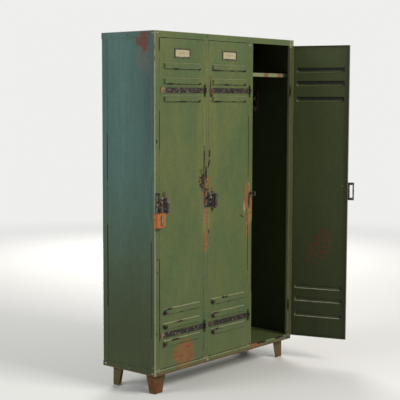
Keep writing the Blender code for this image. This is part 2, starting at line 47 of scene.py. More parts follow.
capLow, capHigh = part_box("top_cap")
middle = (capLow + capHigh) / 2  # of the cabinet itself, without its open door
frontLeft = Vector((capLow.x, capLow.y, 0))
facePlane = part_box("mid_post_1")[0].y
bays = (1, 2, 3)
hinges = {}
for joint in frame["joints"]:
    if joint["name"].startswith("door_"):
        hinges[int(joint["name"][5])] = Vector((*joint["pos_m"][:2], 0))
openAngles = {1: 0.0, 2: 0.0, 3: math.radians(108)}
doorCorner = Vector((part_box("door_1")[0].x, facePlane, 0)) - hinges[1]  # free edge, from the hinge
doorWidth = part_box("door_1")[1].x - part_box("door_1")[0].x
louvres = {
    "margin": 0.029,  # to the door's edges
    "tall": 0.031,
    "offsets": (0.116, 0.043, -0.044),  # above each strap
    "straps": (1.515, 0.301),
}


def freeEdge(bay):
    # of a shut door, from the cap's left edge
    return hinges[bay].x + doorCorner.x - frontLeft.x


print("frame loaded")


# Shader sums: an expression on wires adds its Math nodes
class Wire:
    def __init__(self, owner, socket):
        self.owner = owner
        self.socket = socket

    def sum(self, operation, *values):
        settings = {"operation": operation}
        return self.owner.node("ShaderNodeMath", settings, dict(enumerate(values)))

    def __add__(self, other):
        return self.sum("ADD", self, other)

    def __radd__(self, other):
        return self.sum("ADD", other, self)

    def __sub__(self, other):
        return self.sum("SUBTRACT", self, other)

    def __rsub__(self, other):
        return self.sum("SUBTRACT", other, self)

    def __mul__(self, other):
        return self.sum("MULTIPLY", self, other)

    def __rmul__(self, other):
        return self.sum("MULTIPLY", other, self)

    def __truediv__(self, other):
        return self.sum("DIVIDE", self, other)

    def __rtruediv__(self, other):
        return self.sum("DIVIDE", other, self)

    def __pow__(self, other):
        return self.sum("POWER", self, other)

    def __rpow__(self, other):
        return self.sum("POWER", other, self)

    def __abs__(self):
        return self.sum("ABSOLUTE", self)

    def atLeast(self, other):
        return self.sum("MAXIMUM", self, other)

    def atMost(self, other):
        return self.sum("MINIMUM", self, other)

    def ramp(self, low, high):
        # eases from 0 to 1 as the value goes from low to high
        values = {"Value": self, "From Min": low, "From Max": high}
        settings = {"interpolation_type": "SMOOTHSTEP"}
        return self.owner.node("ShaderNodeMapRange", settings, values)


class Nodes:
    def __init__(self, tree):
        self.tree = tree

    def node(self, kind, settings=None, values=None, output=0):
        made = self.tree.nodes.new(kind)
        for name, value in (settings or {}).items():
            setattr(made, name, value)
        for name, value in (values or {}).items():
            self.feed(made.inputs[name], value)
        return Wire(self, made.outputs[output])

    def feed(self, socket, value):
        if isinstance(value, Wire):
            self.tree.links.new(value.socket, socket)
        elif socket.type == "RGBA":
            socket.default_value = (*value, 1.0)
        else:
            socket.default_value = value

    def outputs(self, kind, names, values=None):
        # several outputs of one node
        made = self.node(kind, {}, values).socket.node
        return [Wire(self, made.outputs[name]) for name in names]


class Finish(Nodes):
    def __init__(self, name, origin=frontLeft, hinge=None, angle=0.0):
        # grain and marks are placed from origin, after a door is turned shut about its hinge
        self.material = bpy.data.materials.new(name)
        self.material.use_nodes = True
        super().__init__(self.material.node_tree)
        self.shader = self.tree.nodes["Principled BSDF"]
        place = self.node("ShaderNodeTexCoord", output="Object")
        if hinge is not None:
            values = {"Vector": place, "Center": tuple(hinge), "Angle": -angle}
            place = self.node("ShaderNodeVectorRotate", {"rotation_type": "Z_AXIS"}, values)
        values = {0: place, 1: tuple(origin)}
        self.place = self.node("ShaderNodeVectorMath", {"operation": "SUBTRACT"}, values)
        self.x, self.y, self.z = self.outputs("ShaderNodeSeparateXYZ", range(3), {0: self.place})

    def mix(self, factor, first, second):
        values = {0: factor, 6: first, 7: second}
        return self.node("ShaderNodeMix", {"data_type": "RGBA"}, values, output=2)

    def scale(self, color, amount):
        values = {0: color, "Scale": amount}
        return self.node("ShaderNodeVectorMath", {"operation": "SCALE"}, values)

    def noise(self, scale, detail=3.0, rough=0.55, stretch=(1, 1, 1), shift=0.0):
        # shift picks another part of the pattern
        values = {0: self.place, 1: stretch, 2: (shift, shift * 0.7, shift * 1.3)}
        where = self.node("ShaderNodeVectorMath", {"operation": "MULTIPLY_ADD"}, values)
        values = {"Vector": where, "Scale": scale, "Detail": detail, "Roughness": rough}
        return self.node("ShaderNodeTexNoise", {}, values)

    def edges(self, reach):
        # 1 along folds and rims, from how far a rounded normal strays from the true one
        soft = self.node("ShaderNodeBevel", {"samples": 6}, {"Radius": reach})
        true = self.node("ShaderNodeNewGeometry", output="Normal")
        settings = {"operation": "DOT_PRODUCT"}
        along = self.node("ShaderNodeVectorMath", settings, {0: soft, 1: true}, output=1)
        return (1.0 - along).ramp(0.01, 0.22)

    def near(self, coordinate, value, width):
        # 1 at a plane, fading to 0 at width away
        return abs(coordinate - value).ramp(width, width * 0.2)

    def between(self, coordinate, low, high, fade):
        return coordinate.ramp(low - fade, low + fade) * coordinate.ramp(high + fade, high - fade)

    def spot(self, across, up, center, size, ragged, grain):
        # an uneven patch, 1 inside and 0 outside
        dx = (across - center[0]) / size[0]
        dz = (up - center[1]) / size[1]
        far = (dx * dx + dz * dz) ** 0.5
        return (far + (grain - 0.5) * (2 * ragged)).ramp(1.05, 0.75)

    def joined(self, masks):
        total = masks[0] if masks else 0.0
        for mask in masks[1:]:
            total = total.atLeast(mask)
        return total

    def done(self, color, roughness, metallic, height, strength=0.4, depth=0.001, fold=0.0012):
        self.shader.inputs["Specular IOR Level"].default_value = 0.25
        self.feed(self.shader.inputs["Base Color"], color)
        self.feed(self.shader.inputs["Roughness"], roughness)
        self.feed(self.shader.inputs["Metallic"], metallic)
        rounded = self.node("ShaderNodeBevel", {"samples": 4}, {"Radius": fold})
        values = {"Height": height, "Strength": strength, "Distance": depth, "Normal": rounded}
        self.feed(self.shader.inputs["Normal"], self.node("ShaderNodeBump", {}, values))
        return self.material


# Paint and its wear, with painted light and shade
tints = {
    "green": (0.072, 0.104, 0.036),
    "olive": (0.088, 0.108, 0.034),
    "yellow": (0.130, 0.134, 0.036),
    "blueGreen": (0.058, 0.099, 0.046),
    "teal": (0.044, 0.104, 0.089),
    "tealLight": (0.075, 0.140, 0.125),
    "slate": (0.022, 0.042, 0.038),
    "pale": (0.33, 0.32, 0.20),
    "bare": (0.013, 0.011, 0.009),
    "brown": (0.060, 0.034, 0.022),
    "rust": (0.165, 0.062, 0.022),
    "redRust": (0.105, 0.020, 0.011),
    "orange": (0.265, 0.112, 0.042),
    "ochre": (0.20, 0.145, 0.050),
    "mauve": (0.130, 0.098, 0.085),
    "inner": (0.029, 0.038, 0.009),
}


def paintFinish(name, seed, marks=None, chips=0.5, dark=1.0, base="green", **place):
    f = Finish(name, **place)
    clouds = f.noise(4.2, 4, 0.6, (1, 1, 0.6), seed)
    streaks = f.noise(1.0, 4, 0.62, (46, 46, 2.0), seed + 3)
    fine = f.noise(1.0, 3, 0.6, (190, 190, 20), seed + 5)
    speck = f.noise(420, 2, 0.6, (1, 1, 1), seed)
    coarse = f.noise(24, 5, 0.64, (1, 1, 0.5), seed + 9)
    small = f.noise(110, 4, 0.68, (1, 1, 0.7), seed + 11)
    color = f.mix(clouds.ramp(0.38, 0.62), tints[base], tints["olive"])
    color = f.mix(streaks.ramp(0.46, 0.66) * 0.30, color, tints["blueGreen"])
    color = f.mix(small.ramp(0.52, 0.66) * 0.16, color, tints["yellow"])
    edge = f.edges(0.0035)
    wearAndLight = {"stains": [], "rust": [], "chips": [], "dark": []}
    if marks:
        marks(f, wearAndLight, coarse, small, streaks)
    # the stain list holds real stains and also painted highlights, painted cool light and painted
    # shade
    for mask, tint in wearAndLight["stains"]:
        color = f.mix(mask, color, tint)
    shade = (streaks - 0.5) * 0.30 + (fine - 0.5) * 0.36 + (speck - 0.5) * 0.26
    shade = shade + (small - 0.5) * 0.50 + (coarse - 0.5) * 0.34 + (clouds - 0.5) * 0.30
    color = f.scale(color, (1.0 + shade) * dark)
    # the dark list is painted shade in and beside the louvres
    for mask in wearAndLight["dark"]:
        color = f.scale(color, 1.0 - mask)
    rub = (edge * 0.46 + coarse * 0.60 + small * 0.35).ramp(0.72, 0.90)
    color = f.mix(rub * 0.55, color, f.scale(tints["pale"], dark))
    rustGrain = f.noise(60, 5, 0.72, (1, 1, 1), seed + 2)
    rust = f.joined(wearAndLight["rust"])
    lit = f.mix(rustGrain.ramp(0.40, 0.60), tints["orange"], tints["rust"])
    color = f.mix(rust * 0.92, color, lit)
    loose = (edge * (0.22 + 0.2 * chips) + coarse * 0.72 + small * 0.34).ramp(0.90, 0.93)
    chip = f.joined([loose] + wearAndLight["chips"])
    inside = f.mix(rustGrain.ramp(0.5, 0.62) * 0.6, tints["bare"], tints["redRust"])
    color = f.mix(chip, color, inside)
    rough = 0.50 + (fine - 0.5) * 0.25 + chip * 0.3 + rust * 0.25
    dents = f.noise(2.3, 2, 0.4, (1, 1, 0.6), seed + 7)
    beaten = f.noise(13, 2, 0.5, (1, 1, 0.8), seed + 8)
    height = dents * 2.6 + beaten * 0.30 + speck * 0.03 + fine * 0.05 + small * 0.10 - chip * 0.18
    return f.done(color, rough.atMost(0.92), 0.0, height, 0.55, 0.0022)


def dashes(f, across, coarse, place, width, low, high, fill):
    # a broken dark line up a seam
    line = f.near(across, place, width) * f.between(f.z, low, high, 0.02)
    return (line * (0.35 + coarse + (fill - 0.5) * 0.5)).ramp(0.60, 0.74)


# Patches are (across, up) of the middle, half sizes and raggedness, from the cap's left edge
frontWearAndLight = {
    "stains": [  # with strength and tint
        ((0.370, 0.960), (0.016, 0.110), 2.0, 0.75, "mauve"),
        ((0.373, 0.810), (0.010, 0.085), 2.0, 0.60, "ochre"),
        ((0.408, 0.830), (0.008, 0.070), 2.0, 0.60, "ochre"),
        ((0.706, 0.895), (0.010, 0.030), 1.6, 0.70, "pale"),
        ((0.741, 0.995), (0.009, 0.030), 1.6, 0.60, "pale"),
        ((0.752, 0.860), (0.018, 0.065), 1.8, 0.80, "ochre"),
    ],
    "rust": [
        ((0.397, 0.995), (0.020, 0.100), 1.8),
        ((0.391, 0.890), (0.010, 0.075), 1.8),
        ((0.727, 0.985), (0.019, 0.045), 1.8),
        ((0.719, 0.915), (0.017, 0.040), 1.8),
        ((0.760, 0.895), (0.014, 0.055), 1.8),
        ((0.734, 0.800), (0.014, 0.080), 1.8),
        ((0.805, 0.124), (0.055, 0.013), 2.0),
    ],
    "faintRust": ((0.386, 0.755), (0.021, 0.060), 1.8),
    "chips": [
        ((0.371, 1.165), (0.006, 0.070), 1.6),
        ((0.385, 1.090), (0.009, 0.055), 2.2),
        ((0.412, 1.192), (0.008, 0.024), 1.0),
        ((0.409, 0.790), (0.005, 0.012), 0.8),
        ((0.744, 0.925), (0.007, 0.045), 1.4),
    ],
    "nicks": [
        ((0.358, 1.058), (0.024, 0.045), 2.6),
        ((0.014, 1.263), (0.006, 0.011), 0.5),
        ((0.022, 0.685), (0.005, 0.008), 0.5),
        ((0.020, 0.618), (0.004, 0.007), 0.5),
        ((0.013, 0.315), (0.005, 0.007), 0.5),
        ((0.870, 0.127), (0.045, 0.007), 1.6),
        ((1.030, 0.127), (0.050, 0.008), 1.6),
        ((0.418, 1.535), (0.005, 0.055), 1.8),
        ((0.424, 1.490), (0.012, 0.012), 2.4),
    ],
    "leaning": ((0.009, 1.142), (0.008, 0.024), 1.0),  # over x less a share of z
    "slanted": ((0.1084, 1.0840), (0.020, 0.0045), 0.5),  # over x and z turned by slant
    "slant": math.radians(33.3),
    "seams": [  # across, half width, from, to, fullness
        (0.035, 0.005, 1.22, 1.42, 0.9),
        (0.035, 0.006, 0.27, 0.69, 0.75),
        (0.034, 0.008, 1.70, 1.77, 0.9),
        (0.736, 0.005, 1.05, 1.39, 0.8),
        (0.736, 0.005, 0.54, 0.80, 0.9),
        (0.769, 0.006, 0.42, 0.82, 0.85),
        (0.371, 0.003, 0.16, 0.70, 0.35),
    ],
    "rubbedSeam": (0.3715, 0.003),
    "blotch": ((0.222, 0.182), (0.086, 0.078), 0.9),
    "litRightPost": (1.104, 1.141),  # the right-hand post, painted pale as a highlight
}


def frontMarks(f, wearAndLight, coarse, small, streaks):
    # one set of marks over posts and shut doors: x from the left corner, z up
    front = f.y.ramp(0.016, 0.010)
    grain = coarse * 0.5 + small * 0.5
    sunned = f.spot(f.x, f.z, (0.395, 1.25), (0.095, 0.55), 0.8, coarse)
    wearAndLight["stains"].append((sunned * 0.45, tints["yellow"]))
    for *patch, amount, tint in frontWearAndLight["stains"]:
        wearAndLight["stains"].append((f.spot(f.x, f.z, *patch, grain) * amount * front, tints[tint]))
    seam = f.near(f.x, *frontWearAndLight["rubbedSeam"]) * front
    wearAndLight["stains"] += [
        (seam * f.between(f.z, 0.50, 0.69, 0.03) * 0.7, tints["pale"]),
        (seam * f.between(f.z, 1.12, 1.45, 0.05) * 0.3, tints["pale"]),
        # painted highlight on the right-hand post's front face
        (f.between(f.x, *frontWearAndLight["litRightPost"], 0.001) * front * (0.25 + streaks * 0.5), tints["pale"]),
        (f.z.ramp(0.117, 0.105) * (0.3 + coarse) * 0.9, tints["redRust"]),
    ]
    blotch = f.spot(f.x, f.z, *frontWearAndLight["blotch"], grain) * front
    arcs = f.noise(1.0, 3, 0.5, (12, 12, 44), 4.0)
    wearAndLight["stains"] += [
        (blotch * 0.80, (0.190, 0.085, 0.026)),
        (blotch * arcs.ramp(0.47, 0.54) * f.z.ramp(0.13, 0.20) * 0.8, (0.190, 0.036, 0.016)),
        (blotch * arcs.ramp(0.60, 0.65) * 0.6, tints["orange"]),
    ]
    rust = [f.spot(f.x, f.z, *patch, grain) for patch in frontWearAndLight["rust"]]
    rust.append(f.spot(f.x, f.z, *frontWearAndLight["faintRust"], grain) * 0.8)
    lowRim = f.z.ramp(0.113, 0.106) * (coarse * 1.4 - 0.35).atMost(1.0).atLeast(0.0) * 0.7
    wearAndLight["rust"] += [f.joined(rust) * front, lowRim]
    turnX, turnZ = math.cos(frontWearAndLight["slant"]), math.sin(frontWearAndLight["slant"])
    alongX, alongZ = f.x * turnX - f.z * turnZ, f.x * turnZ + f.z * turnX
    chips = [f.spot(f.x, f.z, *patch, grain) for patch in frontWearAndLight["chips"]]
    chips += [f.spot(f.x, f.z, *patch, small) for patch in frontWearAndLight["nicks"]]
    chips += [dashes(f, f.x, coarse, *line) for line in frontWearAndLight["seams"]]
    chips.append(f.spot(f.x - f.z * 0.35, f.z, *frontWearAndLight["leaning"], grain))
    chips.append(f.spot(alongX, alongZ, *frontWearAndLight["slanted"], small))
    wearAndLight["chips"].append(f.joined(chips) * front)


def carcassMarks(f, wearAndLight, coarse, small, streaks):
    frontMarks(f, wearAndLight, coarse, small, streaks)
    for bay in (1, 2):
        doorMarks(bay)(f, wearAndLight, coarse, small, streaks)
    onSide = f.x.ramp(0.006, 0.002)
    sideColourAndLight(f, wearAndLight, onSide, coarse, small, streaks)
    corner = f.x.ramp(0.008, 0.002) * f.y.ramp(0.009, 0.002)
    crown = f.z.ramp(1.58, 1.66)
    # painted highlights: the front-left corner, the cap's top rim and the base skirt's top edge, all
    # painted pale
    wearAndLight["stains"] += [
        (corner * (0.55 + small * 0.6).atMost(0.95), tints["pale"]),
        (f.z.ramp(1.7965, 1.7995) * 0.6, tints["pale"]),
        (f.y.ramp(0.010, 0.004) * f.near(f.z, 0.129, 0.004) * 0.85, tints["pale"]),
    ]
    flaked = f.x.ramp(0.016, 0.0) * f.y.ramp(0.016, 0.0) * crown
    wearAndLight["rust"].append((flaked * (small * 0.8 + coarse * 0.7)).ramp(0.60, 0.68) * 0.8)
    wearAndLight["chips"].append((flaked * (small * 0.9 + coarse * 0.6)).ramp(0.70, 0.74))


# across, half width, from, to, fullness
sideSeams = [
    (0.0265, 0.006, 0.28, 0.78, 0.9),
    (0.0265, 0.004, 0.86, 1.10, 0.5),
    (0.3310, 0.006, 0.41, 0.84, 0.9),
    (0.3310, 0.004, 1.05, 1.30, 0.6),
]


def sideColourAndLight(f, wearAndLight, onSide, coarse, small, streaks):
    # painted cool light as teal above, with a painted lighter band towards the rear; painted shade,
    # near black-green, towards the floor and the front corner
    grain = coarse * 0.6 + small * 0.4
    upper = f.z.ramp(0.10, 1.30)
    toFront = f.y.ramp(0.13, 0.03)
    stain = f.spot(f.y, f.z, (0.080, 1.748), (0.042, 0.052), 2.4, grain)
    fade = f.spot(f.y, f.z, (0.080, 1.680), (0.050, 0.100), 2.2, grain)
    wearAndLight["stains"] += [
        (onSide * (0.30 + upper * 0.65), tints["teal"]),
        # painted light: a lighter band towards the rear
        (onSide * f.near(f.y, 0.250, 0.11) * upper * (0.25 + streaks.ramp(0.3, 0.7)) * 0.5,
         tints["tealLight"]),
        # painted shade towards the front corner and towards the floor
        (onSide * toFront * f.z.ramp(0.9, 1.5) * 0.60, tints["slate"]),
        (onSide * f.z.ramp(1.20, 0.25) * 0.86, tints["inner"]),
        (onSide * fade * 0.34, tints["mauve"]),
        (onSide * stain * 0.88, tints["redRust"]),
    ]
    wearAndLight["chips"].append(f.joined([dashes(f, f.y, coarse, *line) for line in sideSeams]) * onSide)


def otherMarks(f, wearAndLight, coarse, small, streaks):
    # the right side and the back, their inner faces painted near black as painted shade
    inside = f.x.ramp(1.1360, 1.1355) * f.y.ramp(0.3618, 0.3614)
    wearAndLight["stains"].append((inside * 0.9, (0.020, 0.025, 0.008)))
    wearAndLight["chips"].append(dashes(f, f.y, coarse, 0.0265, 0.005, 0.35, 0.95, 0.7))


def sideMarks(f, wearAndLight, coarse, small, streaks):
    sideColourAndLight(f, wearAndLight, 1.0, coarse, small, streaks)


def louvreMarks(f, wearAndLight, x, up, low, shut, coarse, small):
    # x from the door's free edge, up from the louvre's middle
    margin, half = louvres["margin"], louvres["tall"] / 2
    span = f.between(x, margin, doorWidth - margin, 0.003)
    rim = f.near(up, -half, 0.0042) * span
    ends = f.near(up, 0.0, half * 1.1)
    loose = random.uniform(0.05, doorWidth - 0.10)
    if not shut:
        # painted shade across each recess, deeper in its upper part and at its free-edge end; a
        # painted highlight at the hinge-side end and along the lower rim
        shade = f.between(up, 0.0 if low else -0.002, half, 0.002) * span
        last = f.near(x, margin + 0.006, 0.014) * ends
        first = f.near(x, doorWidth - margin - 0.002, 0.004) * ends
        wearAndLight["dark"] += [shade * (0.55 if low else 0.95), last * 0.93,
                         span * ends * (0.25 if low else 0.5)]
        wearAndLight["stains"] += [(first * 0.6, tints["pale"]),
                           (rim * (0.75 if low else 0.25), tints["ochre"])]
        wearAndLight["chips"].append((rim * (0.3 + small)).ramp(0.78, 0.84))
        return
    crest = f.near(up, half, 0.0035) * span
    begin = f.near(x, margin, 0.004) * ends
    flaked = f.spot(x, up, (loose, 0.012 if low else -0.013), (0.030, 0.004), 2.4, small)
    if low:
        torn = f.spot(x, up, (0.036, -0.002), (0.014, 0.012), 2.4, small)
    else:
        torn = f.spot(x, up, (doorWidth - 0.036, -0.011), (0.014, 0.007), 1.6, small)
    # painted shade at each louvre's free-edge end and along its lower rim
    wearAndLight["dark"] += [begin * (0.2 if low else 0.38), rim * (0.15 if low else 0.32)]
    wearAndLight["chips"] += [flaked, (rim * (0.3 + coarse)).ramp(0.78, 0.86), torn]
    # painted highlight along the top crest, broken up by noise
    litCrest = crest * (0.85 if low else 0.30) * small.ramp(0.30, 0.5)
    wearAndLight["stains"].append((litCrest, tints["pale"]))


# the red scrawl inside the open door: (across, up), half sizes and raggedness
scrawl = {
    "zones": [
        ((0.130, 0.700), (0.050, 0.060), 0.8),
        ((0.165, 0.640), (0.060, 0.065), 0.8),
        ((0.210, 0.570), (0.040, 0.055), 0.8),
    ],
    "spray": ((0.165, 0.640), (0.085, 0.110), 1.0),
}


def openDoorMarks(f, wearAndLight, x, coarse, small):
    loops = f.noise(22, 4, 0.62, (1, 1, 0.8), 6.0)
    stroke = abs(loops - 0.5).ramp(0.035, 0.012)
    zone = f.joined([f.spot(x, f.z, *patch, coarse) for patch in scrawl["zones"]])
    spray = f.spot(x, f.z, *scrawl["spray"], coarse) * small.ramp(0.56, 0.62)
    inside = f.y.ramp(0.0005, 0.0030)
    # painted highlights: a yellow strip on the hinge-side flange edge and a thin ochre line at the
    # free edge
    rim = x.ramp(doorWidth - 0.0165, doorWidth - 0.015) * f.y.ramp(0.011, 0.013)
    wearAndLight["stains"] += [
        (inside * 0.85, tints["inner"]),
        (inside * f.z.ramp(1.0, 0.3) * 0.45, (0.012, 0.014, 0.005)),
        (rim * 0.75, tints["yellow"]),
        (zone * stroke * inside * 0.85, tints["redRust"]),
        (spray * inside * 0.5, tints["redRust"]),
        (f.near(x, 0.0, 0.005) * 0.45, tints["ochre"]),
    ]


def doorMarks(bay):
    shut = openAngles[bay] == 0

    def marks(f, wearAndLight, coarse, small, streaks):
        x = f.x - freeEdge(bay)
        for strap in louvres["straps"]:
            for offset in louvres["offsets"]:
                up = f.z - (strap + offset)
                louvreMarks(f, wearAndLight, x, up, strap < 1, shut, coarse, small)
        if not shut:
            openDoorMarks(f, wearAndLight, x, coarse, small)

    return marks


def blackIron(name, seed, tint, worn, polish=0.3, bright=0.5, **place):
    # blackened steel, worn through to warm grey, with rust in places
    f = Finish(name, **place)
    coarse = f.noise(34, 5, 0.65, (1, 1, 1.6), seed)
    small = f.noise(160, 4, 0.6, (1, 1, 1), seed + 2)
    speck = f.noise(520, 2, 0.6, (1, 1, 1), seed + 4)
    edge = f.edges(0.002)
    bare = (coarse * 0.8 + small * 0.35 + edge * polish).ramp(0.58, 0.70)
    rust = f.noise(20, 4, 0.6, (1, 1, 1), seed + 6).ramp(0.56, 0.66)
    color = f.mix(bare, tint, worn)
    color = f.mix(rust * 0.5, color, tints["rust"])
    color = f.scale(color, 0.7 + small * 0.6)
    rough = 0.50 - bare * 0.12 + rust * 0.25 + (speck - 0.5) * 0.2
    height = coarse * 0.5 + small * 0.3 + speck * 0.08 - bare * 0.15
    return f.done(color, rough, bare * bright, height, 0.5, 0.0008, 0.0008)


def strapFinish(name, bay, **place):
    # x from the strap's free end
    f = Finish(name, **place)
    x = f.x - freeEdge(bay)
    coarse = f.noise(42, 5, 0.65, (1, 1, 1), bay * 2.0)
    small = f.noise(170, 4, 0.65, (1, 1, 1), bay * 3.0)
    band = f.noise(1.0, 3, 0.6, (70, 1, 110), bay * 5.0)
    worn = (coarse * 0.45 + band * 0.55 + small * 0.3).ramp(0.68, 0.77)
    metal = f.mix(small.ramp(0.4, 0.6), (0.24, 0.19, 0.155), (0.17, 0.085, 0.06))
    color = f.mix(worn, tints["bare"], metal)
    tip = (abs(x - 0.014) / 0.024 + (coarse - 0.5) * 4.4).ramp(1.05, 0.75)
    crust = f.mix(small.ramp(0.45, 0.6), (0.34, 0.20, 0.11), tints["rust"])
    color = f.mix(tip * (0.85 if bay == 1 else 0.25), color, crust)
    hold = f.near(x, doorWidth, 0.02)
    color = f.mix(hold * 0.6, color, tints["bare"])
    color = f.scale(color, 0.7 + small * 0.6)
    height = coarse * 0.6 + small * 0.4 - worn * 0.2
    return f.done(color, 0.55 - worn * 0.1, worn * 0.3, height, 0.5, 0.0008, 0.0008)


def footFinish(name):
    f = Finish(name)
    coarse = f.noise(30, 5, 0.65, (1, 1, 0.6), 2.0)
    small = f.noise(140, 4, 0.65, (1, 1, 1), 3.0)
    clouds = f.noise(11, 3, 0.5, (1, 1, 0.5), 5.0)
    color = f.mix(coarse.ramp(0.40, 0.60), tints["rust"], tints["orange"])
    left = f.between(clouds, 0.45, 0.85, 0.04)
    color = f.mix(left * 0.80, color, tints["yellow"])
    color = f.mix(f.z.ramp(0.085, 0.11) * 0.6, color, tints["redRust"])
    pits = (small * 0.6 + coarse * 0.5).ramp(0.62, 0.70)
    color = f.mix(pits * 0.8, color, tints["brown"])
    color = f.scale(color, 0.33 + small * 0.45)
    height = coarse * 0.6 + small * 0.4 - pits * 0.3
    return f.done(color, 0.8 - left * 0.15, 0.0, height, 0.6, 0.0012)


def shelfFinish(name):
    f = Finish(name)
    coarse = f.noise(26, 5, 0.62, (1, 1, 1), 1.0)
    small = f.noise(120, 4, 0.6, (1, 1, 1), 2.0)
    # the front lip painted pale as a highlight over the dark shelf colour
    lip = f.y.ramp(0.046, 0.044)
    color = f.mix(lip * 0.85, (0.04, 0.05, 0.02), (0.21, 0.22, 0.12))
    patches = f.spot(f.x, f.z, (0.945, 1.605), (0.018, 0.03), 1.0, coarse)
    patches = patches.atLeast(f.spot(f.x, f.z, (1.065, 1.603), (0.018, 0.02), 1.2, coarse))
    color = f.mix(patches * lip * 0.8, color, tints["rust"])
    color = f.mix((coarse * 0.8 + small * 0.3).ramp(0.66, 0.72), color, tints["bare"])
    color = f.scale(color, 0.8 + small * 0.4)
    return f.done(color, 0.6 + (small - 0.5) * 0.2, 0.0, coarse + small * 0.5, 0.4, 0.0008)


def lacquerFinish(name, origin):
    # the padlock's orange, scuffed through to brass-brown at its rims
    f = Finish(name, origin)
    coarse = f.noise(60, 5, 0.6, (1, 1, 1), 1.0)
    small = f.noise(260, 4, 0.6, (1, 1, 1), 2.0)
    brushed = f.noise(1.0, 3, 0.5, (900, 900, 30), 3.0)
    edge = f.edges(0.003)
    color = f.mix(coarse.ramp(0.40, 0.62), (0.37, 0.130, 0.030), (0.29, 0.090, 0.022))
    scuff = (edge * 0.34 + coarse * 0.6 + small * 0.3).ramp(0.70, 0.80)
    color = f.mix(scuff * 0.75, color, (0.17, 0.055, 0.028))
    color = f.scale(color, 0.84 + brushed * 0.32)
    height = brushed * 0.3 + small * 0.3 - scuff * 0.4
    return f.done(color, 0.40 + scuff * 0.25, 0.0, height, 0.35, 0.0005, 0.001)


def cardFinish(name, bay):
    place = doorPlace(bay)
    f = Finish(name, **place)
    middleX = freeEdge(bay) + doorWidth / 2
    fibers = f.noise(1.0, 4, 0.6, (500, 500, 900), bay)
    clouds = f.noise(45, 4, 0.6, (1, 1, 1), bay * 3.0)
    color = f.mix(clouds.ramp(0.35, 0.65), (0.42, 0.38, 0.24), (0.35, 0.30, 0.18))
    rim = f.between(f.x, middleX - 0.047, middleX + 0.047, 0.006)
    color = f.mix((1.0 - rim) * 0.5, color, (0.25, 0.19, 0.10))
    smudge = f.spot(f.x, f.z, (middleX, 1.697), (0.036, 0.007), 0.9, clouds)
    color = f.mix(smudge * 0.35, color, (0.20, 0.17, 0.12))
    color = f.scale(color, 0.9 + fibers * 0.2)
    return f.done(color, 0.85, 0.0, fibers + clouds * 2.0, 0.3, 0.0003)


def steelFinish(name, origin, tint, metal=0.85):
    f = Finish(name, origin)
    coarse = f.noise(80, 4, 0.6, (1, 1, 1), 1.0)
    small = f.noise(400, 3, 0.6, (1, 1, 1), 2.0)
    color = f.mix(coarse.ramp(0.42, 0.60), tint, f.scale(tint, 0.35))
    color = f.scale(color, 0.8 + small * 0.4)
    rough = 0.34 + coarse * 0.3
    return f.done(color, rough, metal, coarse * 0.5 + small * 0.3, 0.4, 0.0004, 0.0006)


def doorPlace(bay):
    return {"hinge": hinges[bay], "angle": openAngles[bay]}


def coat(names, material):
    for name in names:
        slots = nodes[name].data.materials
        for k in range(len(slots)):
            slots[k] = material


carcassPaint = paintFinish("cabinetPaint", 1.0, carcassMarks, 0.6)
openPaint = paintFinish("openDoorPaint", 1.0, doorMarks(3), 0.7, **doorPlace(3))
coat(["door_3"], openPaint)
frames = ["mid_post_1", "mid_post_2", "top_cap", "base_tray", "door_1", "door_2"]
frames += [f"corner_post_{end}_{side}" for end in ("front", "rear") for side in ("left", "right")]
coat(frames, carcassPaint)
coat(["side_panel_left"], paintFinish("leftSidePaint", 2.0, sideMarks, 0.3))
coat(["side_panel_right", "back_panel"], paintFinish("otherSidesPaint", 3.0, otherMarks, 0.3))
coat(["divider_1", "divider_2"], paintFinish("insidePaint", 4.0, None, 0.3, 0.7, "inner"))
for bay in bays:
    place = doorPlace(bay)
    strap = strapFinish(f"strapIron{bay}", bay, **place)
    coat([f"strap_hinge_{end}_{bay}" for end in ("upper", "lower")], strap)
    lock = blackIron(f"lockIron{bay}", 17.0 + bay, (0.014, 0.013, 0.011), (0.19, 0.17, 0.14), 0.6,
                     **place)
    coat([f"hasp_plate_{bay}", f"label_holder_{bay}", f"turning_staple_{bay}"], lock)
    grip = blackIron(f"gripIron{bay}", 27.0 + bay, (0.060, 0.050, 0.042), (0.22, 0.18, 0.15), 0.6,
                     0.3, **place)
    coat([f"door_grip_{bay}"], grip)
    coat([f"label_card_{bay}"], cardFinish(f"card{bay}", bay))
    coat([f"hinge_leaf_{end}_{bay}" for end in ("upper", "lower")], carcassPaint)
    coat([f"coat_hook_{bay}"], blackIron(f"hookIron{bay}", 47.0 + bay, tints["bare"], tints["mauve"]))
coat([f"hat_shelf_{bay}" for bay in bays], shelfFinish("shelfPaint"))
feet = [f"foot_{end}_{side}" for end in ("front", "rear") for side in ("left", "right")]
footPaint = footFinish("footRust")
coat(feet, footPaint)
lockLow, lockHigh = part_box("padlock_body")
lacquer = lacquerFinish("padlockLacquer", lockLow)
coat(["padlock_body"], lacquer)
coat(["padlock_shackle"], steelFinish("shackleSteel", lockLow, (0.13, 0.12, 0.11)))
print("finishes ready")


# Small pieces
ironBolt = blackIron("boltIron", 61.0, (0.050, 0.048, 0.034), (0.27, 0.26, 0.19), 0.8, 0.4)
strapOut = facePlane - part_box("strap_hinge_upper_1")[0].y
doorSheet = 0.0012
lockLevel = 0.966


def shutToStanding(bay):
    # from where a door's piece sits when shut to where the door stands
    turn = Matrix.Rotation(openAngles[bay], 4, "Z")
    return Matrix.Translation(hinges[bay]) @ turn @ Matrix.Translation(-hinges[bay])


def onFront(x, z, out=0.0):
    # a point on the front, x from the left corner, out from the posts' faces
    return Vector((frontLeft.x + x, facePlane - out, z))


